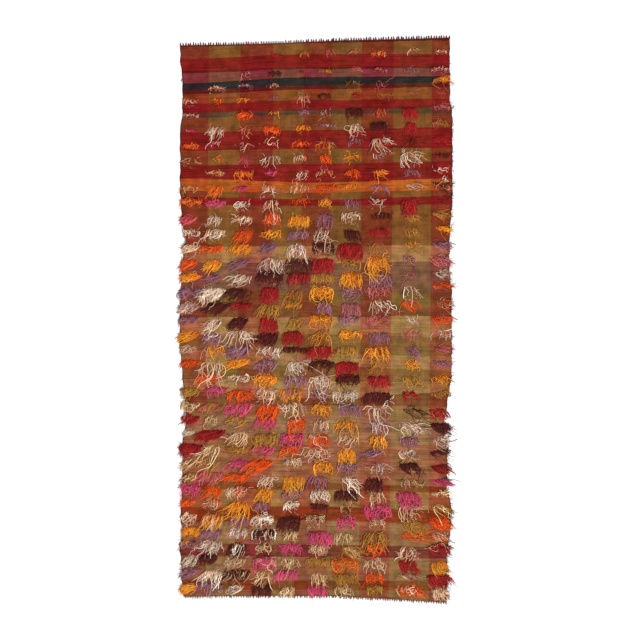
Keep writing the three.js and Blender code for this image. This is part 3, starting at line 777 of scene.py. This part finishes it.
def tuft_table():
    """One value for each tuft in each array: place of its knot line, size, lean, form and dye."""
    # How tufts differ from what their row and form say: in degrees, as shares, and in metres from their
    # place. Of the tufts, a mixed share has some ends of the dye above.
    lean_spread, wisp_spread, leaf_leans = 9, 35, (44, 72)
    width_shares, reach_shares, fan_shares, stain_shares = (0.70, 1.24), (0.70, 1.28), (0.6, 1.5), (0.2, 1.2)
    sideways_spread, lengthways_spread, mixed_share = 0.0040, 0.0026, 0.22
    draw = np.random.default_rng(31)
    row, column = np.meshgrid(np.arange(1, ROWS + 1), np.arange(1, 11), indexing="ij")
    row, column = row.ravel(), column.ravel()
    kept = np.ones(row.size, bool)
    for bare_row, first, last in BARE_KNOTS:
        kept &= ~((row == bare_row) & (column >= first) & (column <= last))
    row, column = row[kept], column[kept]
    n = row.size
    t = (row - 1) / (ROWS - 1)
    across = (column - 1) / 9
    x = (COLUMNS[column - 1, 0] * (1 - t) + COLUMNS[column - 1, 1] * t) / 1000
    left = np.interp(row, KNOT_LINES[:, 0], KNOT_LINES[:, 1])
    right = np.interp(row, KNOT_LINES[:, 0], KNOT_LINES[:, 2])
    y = (left + (right - left) * across) / 1000
    dye = np.array([dye_of(r, c) for r, c in zip(row, column)])
    for odd_row, odd_column, odd_dye in ODD_DYES:
        dye[(row == odd_row) & (column == odd_column)] = odd_dye
    above = np.array([dye_of(max(r - 1, 1), c) for r, c in zip(row, column)])
    form, names = tuft_forms(row, column, dye, draw)
    style = dict(zip(FORM_COLUMNS, np.array([FORMS[name] for name in names])[form].T))
    lean = read_field(LEANS, row, column) * np.where(column == 10, 1, style["upright"])
    lean += draw.normal(0, lean_spread, n)
    leaf = (form == names.index("leaf")) & (np.abs(column - 5.5) > 1)
    lean[leaf] = np.copysign(draw.uniform(*leaf_leans, n), lean)[leaf]
    wisp = form == names.index("wisp")
    lean[wisp] += draw.normal(0, wisp_spread, n)[wisp]
    row_width, row_reach = (np.interp(row, TUFT_SIZES[:, 0], TUFT_SIZES[:, k]) for k in (1, 2))
    width = row_width * draw.uniform(*width_shares, n) * style["width"]
    reach = row_reach * draw.uniform(*reach_shares, n) * style["reach"]
    uneven = np.interp(row, (12, 16), (0.6, 0.3)) * draw.uniform(-1, 1, n)
    full = read_field(FULLNESS, row, column) * (1 + uneven)
    full = full * np.where(np.isin(dye, PALE_DYES), np.interp(row, (10, 14), (0.62, 0.90)), 1.0)
    for dyes, after_row, *shares in DYE_SIZES:
        here = np.isin(dye, dyes) & (row > after_row)
        for values, share in zip((full, width, reach), shares):
            values[here] *= share
    for worn_row, last_row, worn_column, left_over in WORN_TUFTS:
        worn = (row >= worn_row) & (row <= last_row) & (column == worn_column)
        full[worn] *= left_over
        width[worn] *= left_over ** 0.5
    fan = style["fan"] * draw.uniform(*fan_shares, n)
    curl = style["curl"] * draw.choice((-1, 1), n)
    for bold_row, bold_column, *values in sum(BOLD_TUFTS.values(), []):
        here = (row == bold_row) & (column == bold_column)
        full[here], reach[here], lean[here], fan[here], curl[here] = values
    x = x + draw.normal(0, sideways_spread, n)
    y = y + draw.normal(0, lengthways_spread, n)
    second_dye = np.where(draw.uniform(0, 1, n) < mixed_share, above, dye)
    stain = np.interp(row, (1, 10, 14, 39), (1.0, 0.80, 0.30, 0.12)) * draw.uniform(*stain_shares, n)
    return dict(row=row, x=x, y=y, width=width / 1000, reach=reach / 1000, full=full, dye=dye,
                second_dye=second_dye, stain=stain.clip(0, 1), lean=np.radians(lean), fan=np.radians(fan),
                curl=np.radians(curl), style=style)


def held(value, low, high):
    """A value turned back smoothly before it passes its room below or above nought: room tanh(value /
    room)."""
    room = np.where(value > 0, high, low)
    return room * np.tanh(value / room)


def scatter(phase, size):
    """A value from 0 to 1 that looks random but is the same for the same phase: how far size times the sine
    of the phase lies above the whole number below it."""
    return np.sin(phase) * size % 1.0


def walk(heading, length):
    """Places along paths from their start: the sums of equal steps along their heading, which is measured
    from straight down the rug, plus to the right."""
    step = length[:, None] / (heading.shape[1] - 1)
    dx = np.cumsum(np.sin(heading) * step, axis=1)
    dy = -np.cumsum(np.cos(heading) * step, axis=1)
    return dx - dx[:, :1], dy - dy[:, :1]


def hold_inside(dx, dy, q, own, hold, draw):
    """The walk of each end, split along and across its lean. The part across is held inside the outline of
    the tuft, which is widest in its middle, and the part along runs neither far back nor far past the tip.
    hold is the share of this that the end takes."""
    slack, belly_width, room_behind, room_ahead = 0.0020, 0.0045, 0.003, 1.6
    reach = own["reach"][:, None]
    sine, cosine = np.sin(own["lean"])[:, None], np.cos(own["lean"])[:, None]
    along, aside = dx * sine - dy * cosine, dx * cosine + dy * sine
    room = own["width"][:, None] / 2 * cosine
    belly = np.sin(math.pi * (along / reach).clip(0, 1) ** 0.8)
    margin = (slack + slack * draw.uniform(-1, 1, q.size).clip(-0.9, 1))[:, None] + belly_width * belly
    room_left, room_right = (room * (1 + q)).clip(0, None) + margin, (room * (1 - q)).clip(0, None) + margin
    aside = aside + hold * (held(aside, room_left, room_right) - aside)
    along = along + hold * (held(along, room_behind, reach * room_ahead) - along)
    return along * sine + aside * cosine, aside * sine - along * cosine


def keep_on_rug(x, y, dx, dy, row, draw):
    """Places of ends from their roots and walks, with those shorter that would pass a selvedge or the lower
    end of the rug. Each may pass it by a little of its own, and by more at the right of the lower rows."""
    farthest_right, least_free, most_below, tiny = 0.504, 0.004, 0.014, 1e-4
    past_left = edge_at(LEFT_EDGE, y[:, 0]) - draw.exponential(0.004, row.size)
    overhang = np.interp(row, (1, 12, 24, 39), (0.006, 0.009, 0.022, 0.024))
    past_right = edge_at(RIGHT_EDGE, y[:, 0]) + draw.exponential(1, row.size) * overhang
    past_right = past_right.clip(None, farthest_right)
    free = np.where(dx[:, -1] < 0, x[:, -1] - past_left, past_right - x[:, -1])
    short = np.clip(free.clip(least_free, None) / np.abs(dx[:, -1]).clip(tiny, None), 0.0, 1.0)[:, None]
    low = y[:, 0] - edge_at(BOTTOM_EDGE, x[:, -1]) + draw.exponential(0.004, row.size).clip(0, most_below)
    lowered = np.clip(low / np.abs(dy.min(axis=1)).clip(tiny, None), 0.0, 1.0)[:, None]
    return x + dx * short, y + dy * np.minimum(0.4 + 0.6 * short, lowered)


# The two layers of a tuft: points along an end, its girth and taper, its share of the tuft's reach, how
# much of its own turn and curl it takes, and how unevenly the ends stand along the knots.
LAYERS = {
    "below": (6, 0.0020, 0.30, 0.93, 0.5, 0.4, 0.03),
    "above": (9, 0.0011, 0.45, 1.05, 1.0, 1.0, 0.07),
}


def tuft_ends(tufts, layer, seed):
    """Places (x, y) of the ends in one layer of all tufts, their radii, tuft, dye and tone.
    With q from -1 to 1 across the tuft and s from 0 at the knot to 1 at the tip, the heading of an end is
    lean (0.25 + 0.75 step) + fan q (1 + round (0.6 - 1.8 s)) + lock + own + curl (s - 0.2) + a wave, where
    the step is eased and follows the end's bend. Ends of one lock draw together by gather. A few upper ends
    straggle out of their tuft: they are longer, wave more and aren't held inside its outline.
    The tone is 0.26 of the end's own, 0.46 of its lock's and 0.28 of its tuft's, and darker in the lower
    layer, as painted shade beneath the upper ends."""
    points, girth, taper, stretch, turning, curling, uneven = LAYERS[layer]
    stragglers, straggler_lengths, straggler_wave = 0.035, (1.25, 1.75), 50
    second_share, knot_wander, line_sway, line_bow = 0.4, 0.0018, 0.004, 0.004
    draw = np.random.default_rng(seed)
    thin = np.interp(tufts["row"], (1, 8, 14), (0.84, 0.92, 1.0))
    number = np.round(tufts["style"][layer] * tufts["full"] * tufts["width"] / FORM_WIDTH / thin).astype(int)
    take = np.repeat(np.arange(number.size), number)
    first = np.repeat(np.cumsum(number) - number, number)
    style = {label: values[take] for label, values in tufts["style"].items()}
    own = {label: values[take] for label, values in tufts.items() if label != "style"}
    n = take.size
    below = layer == "below"
    s = np.linspace(0, 1, points)
    q = 2 * (np.arange(n) - first + 0.5) / number[take] - 1 + draw.normal(0, uneven, n)
    locks = np.maximum(np.round(own["full"] * 4 + 2), 3)
    lock = np.clip(np.floor((q + 1) / 2 * locks), 0, locks - 1)
    lock_q = 2 * (lock + 0.5) / locks - 1
    chance = scatter(take * 12.9898 + lock * 78.233, 43758.5453)
    chance_two = chance * 7.31 % 1.0
    length = own["reach"] * (1 + style["uneven"] * draw.normal(0, 1, n).clip(-2, 2))
    length = length * (1 + style["uneven"] * (2 * chance_two - 1)) * stretch
    straggler = (draw.uniform(0, 1, n) < stragglers) & (not below)
    length = np.where(straggler, length * draw.uniform(*straggler_lengths, n), length)
    lock_turn = np.radians(style["lock_turn"]) * (2 * chance - 1)
    own_turn = np.radians(style["own_turn"]) * draw.normal(0, 1, n) * turning
    own_curl = np.radians(style["curl_spread"]) * draw.normal(0, 1, n) * curling
    curl = own["curl"] * draw.uniform(0.4, 1.3, n) + own_curl
    wave = np.radians(style["wave"] + straggler_wave * straggler) * draw.normal(0, 1, n)
    waves = draw.uniform(0.9, 2.1, n)[:, None]
    phase = draw.uniform(0, 2 * math.pi, n)[:, None]
    bend = draw.uniform(-0.35, 0.45, n)
    lean = own["lean"][:, None] * (0.25 + 0.75 * smooth((s - bend[:, None]) / 0.3))
    fan = (own["fan"] * q)[:, None] * (1 + style["round"][:, None] * (0.6 - 1.8 * s))
    heading = lean + fan + (lock_turn + own_turn)[:, None] + curl[:, None] * (s - 0.2)
    dx, dy = walk(heading + wave[:, None] * np.sin(2 * math.pi * waves * s + phase), length)
    hold = np.where(straggler, 0.0, style["hold"])[:, None]
    dx, dy = hold_inside(dx, dy, q[:, None], own, hold, draw)
    gather = style["gather"][:, None] * smooth(s / 0.9)
    beside_middle = q[:, None] * (1 - gather) + lock_q[:, None] * gather
    x = own["x"][:, None] + own["width"][:, None] / 2 * beside_middle
    wander = draw.normal(0, knot_wander, n)
    y = (own["y"] + wander + line_sway * (chance - 0.5) - line_bow * q ** 2)[:, None]
    x, y = keep_on_rug(x, y, dx, dy, own["row"], draw)
    girth = girth * style["girth"] * draw.uniform(0.62, 1.15, n) * thin[take]
    tone = 0.26 * draw.uniform(0, 1, n) + 0.46 * chance_two + 0.28 * scatter(take * 37.7, 917.3)
    second = (draw.uniform(0, 1, n) < second_share) & (not below)
    dye = np.where(second, own["second_dye"], own["dye"])
    pale = np.isin(dye, PALE_DYES)
    girth = girth * (0.87 + 0.28 * tone) * np.where(pale & (not below), 1.10, 1.0)
    radii = girth[:, None] * (1 - taper * s ** 1.8)
    # The lower layer is made darker: painted shade beneath the upper ends.
    tone = tone * np.where(pale, 0.25, 0.5) if below else 0.12 + 0.88 * tone
    return x, y, radii, take, dye, tone


def tuft_fuzz(tufts, points, seed):
    """Short hairs that have worked out of the tufts, with their radii, tuft, dye and tone. Each starts
    inside the outline of its tuft and heads away from its middle, turned by its own angle and curled. Some
    are dark or red instead of the tuft's dye: partly stray hairs of other wool, partly a painted shadow round
    the tuft."""
    usual_hairs, usual_size, dark_hair_and_shade_share, red_hair_and_shade_share = 33, 0.060 * 0.046, 0.14, 0.12
    lengths, girths, turn_spread, curl_spread = (0.007, 0.024), (0.00042, 0.00075), 0.8, 1.6
    draw = np.random.default_rng(seed)
    number = np.round(usual_hairs * tufts["width"] * tufts["reach"] / usual_size).astype(int)
    take = np.repeat(np.arange(number.size), number)
    n = take.size
    s = np.linspace(0, 1, points)
    across, down = draw.uniform(-1.05, 1.05, n), draw.uniform(0.0, 1.05, n)
    lean, reach = tufts["lean"][take], tufts["reach"][take]
    x = tufts["x"][take] + tufts["width"][take] / 2 * across + reach * down * np.sin(lean)
    y = tufts["y"][take] - reach * down * np.cos(lean)
    away = np.arctan2(across * 0.7, down - 0.45) + 0.5 * lean
    own_turn, own_curl = (draw.normal(0, spread, n)[:, None] for spread in (turn_spread, curl_spread))
    dx, dy = walk(away[:, None] + own_turn + own_curl * s, draw.uniform(*lengths, n))
    x = np.clip(x, edge_at(LEFT_EDGE, y) + 0.001, edge_at(RIGHT_EDGE, y) - 0.001)[:, None] + dx
    y = np.clip(y, edge_at(BOTTOM_EDGE, x[:, 0]) + 0.004, None)[:, None] + dy
    radii = draw.uniform(*girths, n)[:, None] * (1 - 0.5 * s)
    # Dark and red hairs round the tufts: partly stray hairs, partly a painted shadow round each tuft.
    dark_or_red_chance = draw.uniform(0, 1, n)
    dye = np.where(dark_or_red_chance < dark_hair_and_shade_share + red_hair_and_shade_share, "crimson", tufts["dye"][take])
    dye = np.where(dark_or_red_chance < dark_hair_and_shade_share, "aubergine", dye)
    return x, y, radii, take, dye, draw.uniform(0.1, 0.9, n)


def ground_height(x, y):
    """The height that yarn rests on: the cloth's face over the rug, falling to the floor just past it."""
    fall = 0.007
    past_left = (edge_at(LEFT_EDGE, y) - x) / fall
    past_right = (x - edge_at(RIGHT_EDGE, y)) / fall
    past_top = (y - edge_at(TOP_EDGE, x)) / fall
    past_bottom = (edge_at(BOTTOM_EDGE, x) - y) / fall
    past = np.maximum(np.maximum(past_left, past_right), np.maximum(past_top, past_bottom))
    return CLOTH_THICK * (1.0 - smooth(past))


# The height of what lies there already, on a grid of small cells, and the most that it may be.
PILE_CELL = 0.0015
PILE_CELLS = (760, 1440)
PILE_CORNER = (-0.57, -1.08)
PILE_TOP = 0.019
pile_x, pile_y = np.meshgrid(PILE_CORNER[0] + PILE_CELL * np.arange(PILE_CELLS[0]),
                             PILE_CORNER[1] + PILE_CELL * np.arange(PILE_CELLS[1]), indexing="ij")
pile = ground_height(pile_x, pile_y)


def settle(x, y, radii, arch=0.0):
    """Heights of yarn laid on the pile, which grows by it.
    A yarn lies nine tenths of a radius above the pile, or above the mean of the pile at the points before
    and after where that is higher, plus arch times the sine of pi s. It comes out of the cloth at its
    first point. Under each side of it the pile rises four fifths of the way to 0.6 radii above it."""
    def cells(px, py):
        return tuple(((p - corner) / PILE_CELL).astype(int) for p, corner in zip((px, py), PILE_CORNER))

    under = pile[cells(x, y)]
    wide = np.pad(under, ((0, 0), (1, 1)), mode="edge")
    span = np.maximum(under, 0.5 * (wide[:, :-2] + wide[:, 2:]))
    s = np.linspace(0, 1, x.shape[1])
    z = np.clip(span + 0.9 * radii + arch * np.sin(math.pi * s), radii, PILE_TOP)
    z[:, 0] = np.maximum(CLOTH_THICK - 0.0010, radii[:, 0])
    fine = np.linspace(0, x.shape[1] - 1.001, 4 * x.shape[1])
    k = np.floor(fine).astype(int)
    t = fine - k
    fine_x, fine_y, fine_z, fine_r = (v[:, k] * (1 - t) + v[:, k + 1] * t for v in (x, y, z, radii))
    for side in (-0.5, 0.5):
        for along in (-0.5, 0.5):
            place = cells(fine_x + side * fine_r, fine_y + along * fine_r)
            above = fine_z + 0.6 * fine_r - pile[place]
            np.maximum.at(pile, place, pile[place] + 0.8 * above.clip(0, None))
    return z


# The upper ends of a row are laid in turns, so that they lie among each other.
UPPER_TURNS = 3
tufts = tuft_table()
lower_ends = tuft_ends(tufts, "below", 41)
upper_ends = tuft_ends(tufts, "above", 42)
hairs = tuft_fuzz(tufts, 4, 44)
lower_z, upper_z, hair_z = (np.zeros(ends[0].shape) for ends in (lower_ends, upper_ends, hairs))
turn = np.random.default_rng(43).integers(0, UPPER_TURNS, upper_z.shape[0])
arches = np.random.default_rng(45).exponential(0.0011, upper_z.shape[0]).clip(0, 0.004)
for row in range(ROWS, 0, -1):
    here = tufts["row"][lower_ends[3]] == row
    lower_z[here] = settle(*(values[here] for values in lower_ends[:3]))
    for number in range(UPPER_TURNS):
        here = (tufts["row"][upper_ends[3]] == row) & (turn == number)
        upper_z[here] = settle(*(values[here] for values in upper_ends[:3]), arches[here, None])
    here = tufts["row"][hairs[3]] == row
    hair_z[here] = settle(*(values[here] for values in hairs[:3]), 0.0008)

for dye, (root_colour, tip_colour, spread) in YARNS.items():
    bundles = []
    # The lower layer takes more of the red stain, more still for pale wool: partly stain, partly painted
    # shade beneath the upper ends.
    lower_shade_and_stain = 0.70 if dye in PALE_DYES else 0.45
    for (x, y, radii, take, end_dye, tone), z, beneath_shade_and_stain in (
        (lower_ends, lower_z, lower_shade_and_stain), (upper_ends, upper_z, 0.0), (hairs, hair_z, 0.0),
    ):
        here = end_dye == dye
        paths = np.stack((x[here], y[here], z[here]), axis=-1)
        stain = tufts["stain"][take] * (1.3 - tone) + beneath_shade_and_stain
        bundles.append((paths, radii[here], tone[here], stain[here], 3))
    piece = yarn_piece("tufts_" + dye, bundles, yarn_material("wool_" + dye, root_colour, tip_colour, spread))
    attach(piece, "root")

# Loose threads: thin dark plies and hairs that have worked out of the cloth and the tufts.
# They are the same wool, held at one end only. Most lie past the right selvedge, hooked and curled.
THREAD_POINTS = 12
# How far right a thread may reach.
THREADS_END_AT = 0.505
# Where they lie: edge, y of the top and bottom, number, shortest and longest in mm, heading in degrees.
THREAD_ZONES = [
    ("right", 965, 330, 24, 8, 18, 90),
    ("right", 975, 330, 70, 2, 7, 90),
    ("right", 330, -330, 60, 2, 9, 90),
    ("right", -330, -975, 60, 3, 12, 90),
    ("left", 950, -960, 80, 2, 6, -90),
    ("right", 330, -330, 16, 9, 22, 90),
    ("right", -330, -975, 60, 12, 36, 84),
    ("left", 900, -200, 10, 7, 14, -90),
    ("left", -200, -950, 16, 8, 19, -90),
]


def thread_paths(edge_name, top, bottom, count, shortest, longest, heading, seed):
    """Threads that start a little inside a selvedge. Their heading is that of the zone, their own turn, a
    curl times (s - 0.3) and a wave."""
    insides, girths, turn_spread, curl_spread = (0.001, 0.010), (0.00045, 0.00085), 38, 130
    wave, waves = 0.5, 1.4
    draw = np.random.default_rng(seed)
    s = np.linspace(0, 1, THREAD_POINTS)
    inside = draw.uniform(*insides, count)
    y = draw.uniform(bottom, top, count) / 1000
    edge, inwards = (RIGHT_EDGE, -1) if edge_name == "right" else (LEFT_EDGE, 1)
    x = edge_at(edge, y) + inwards * inside
    own = np.radians(heading + draw.normal(0, turn_spread, count))[:, None]
    curl = np.radians(draw.normal(0, curl_spread, count))[:, None]
    phase = draw.uniform(0, 2 * math.pi, count)[:, None]
    turns = own + curl * (s - 0.3) + wave * np.sin(2 * math.pi * waves * s + phase)
    dx, dy = walk(turns, draw.uniform(shortest, longest, count) / 1000 + inside)
    radii = draw.uniform(*girths, count)[:, None] * (1 - 0.5 * s ** 2)
    x = np.clip(x[:, None] + dx, None, THREADS_END_AT)
    return x, y[:, None] + dy, radii, draw.uniform(0, 1, count)


thread_bundles = []
for number, zone in enumerate(THREAD_ZONES):
    x, y, radii, tone = thread_paths(*zone, seed=51 + number)
    thread_bundles.append((np.stack((x, y, settle(x, y, radii)), axis=-1), radii, tone, 0 * tone, 3))
thread_wool = yarn_material("loose_thread_wool", (0.030, 0.018, 0.016), (0.13, 0.075, 0.055), 0.6, 0.003)
threads = yarn_piece("loose_threads", thread_bundles, thread_wool)
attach(threads, "root")

# The room: a plain pale floor that the rug lies on, and soft light from the sky and a large window.
# The camera hangs straight over the rug, so high that its view is nearly flat.
FLOOR_HALF = 6.0
floor_mesh = bpy.data.meshes.new("floor")
corners = [(-FLOOR_HALF, -FLOOR_HALF, 0), (FLOOR_HALF, -FLOOR_HALF, 0), (FLOOR_HALF, FLOOR_HALF, 0),
           (-FLOOR_HALF, FLOOR_HALF, 0)]
floor_mesh.from_pydata(corners, [], [(0, 1, 2, 3)])
floor = bpy.data.objects.new("floor", floor_mesh)
bpy.context.scene.collection.objects.link(floor)
floor_paint, _, floor_shader = new_material("pale_floor", 0.9, 0.1)
floor_shader.inputs["Base Color"].default_value = (0.90, 0.90, 0.90, 1)
floor_mesh.materials.append(floor_paint)

sky = bpy.data.worlds.new("studio")
sky.use_nodes = True
sky_light = sky.node_tree.nodes["Background"]
sky_light.inputs["Color"].default_value = (1.0, 1.0, 1.0, 1)
sky_light.inputs["Strength"].default_value = 0.42
bpy.context.scene.world = sky
bpy.context.scene.view_settings.view_transform = "Standard"

lamp = bpy.data.lights.new("window_light", "SUN")
lamp.energy = 3.35
lamp.angle = math.radians(28)
window = bpy.data.objects.new("window_light", lamp)
window.rotation_euler = (math.radians(38), 0, math.radians(36))
bpy.context.scene.collection.objects.link(window)

CAMERA_HEIGHT = 7.0
# The rug's middle lies one pixel left of the middle of the view, and half a pixel below it.
VIEW_MIDDLE = (0.0035, 0.00175)
# The width of floor that the view takes in, in metres, and the camera's sensor in millimetres.
VIEW_WIDTH = 2.24
SENSOR = 36.0
camera_data = bpy.data.cameras.new("camera")
camera_data.sensor_width = SENSOR
camera_data.lens = SENSOR * CAMERA_HEIGHT / VIEW_WIDTH
camera_data.clip_end = 40
camera = bpy.data.objects.new("camera", camera_data)
camera.location = (*VIEW_MIDDLE, CAMERA_HEIGHT)
bpy.context.scene.collection.objects.link(camera)
bpy.context.scene.camera = camera

bpy.context.view_layer.update()
